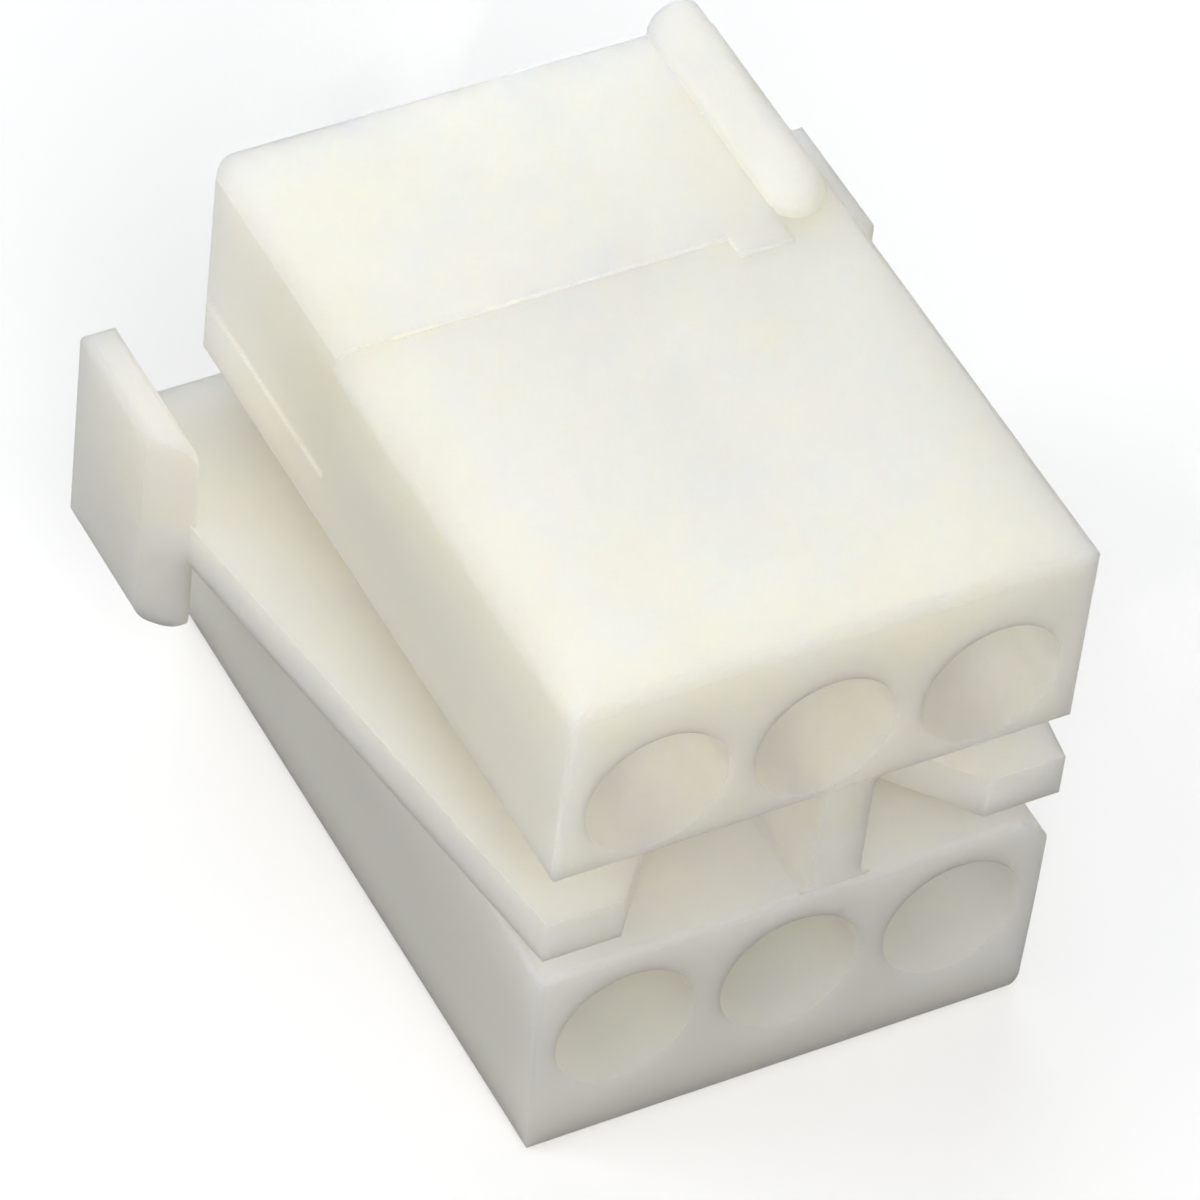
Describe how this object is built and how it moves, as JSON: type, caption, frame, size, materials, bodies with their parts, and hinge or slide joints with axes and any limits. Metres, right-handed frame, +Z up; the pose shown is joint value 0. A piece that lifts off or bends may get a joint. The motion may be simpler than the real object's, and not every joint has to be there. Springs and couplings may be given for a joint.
{
  "type": "wire to board connector housing",
  "caption": "Moulded crimp connector housing with two rows of round through cavities, two sprung side wings with finger pads, a mid-plane slot and a half-round key rib",
  "frame": {"origin": "middle of the bounding box at the underside of the lower block", "axes": "+X across the columns to the side of the key rib, -Y out of the wire side, +Z up through the upper row"},
  "size_m": [0.0286, 0.028, 0.0235],
  "materials": {
    "nylon": "natural moulded nylon, slightly translucent, satin"
  },
  "bodies": {
    "root": {"housing": "nylon"}
  },
  "joints": []
}
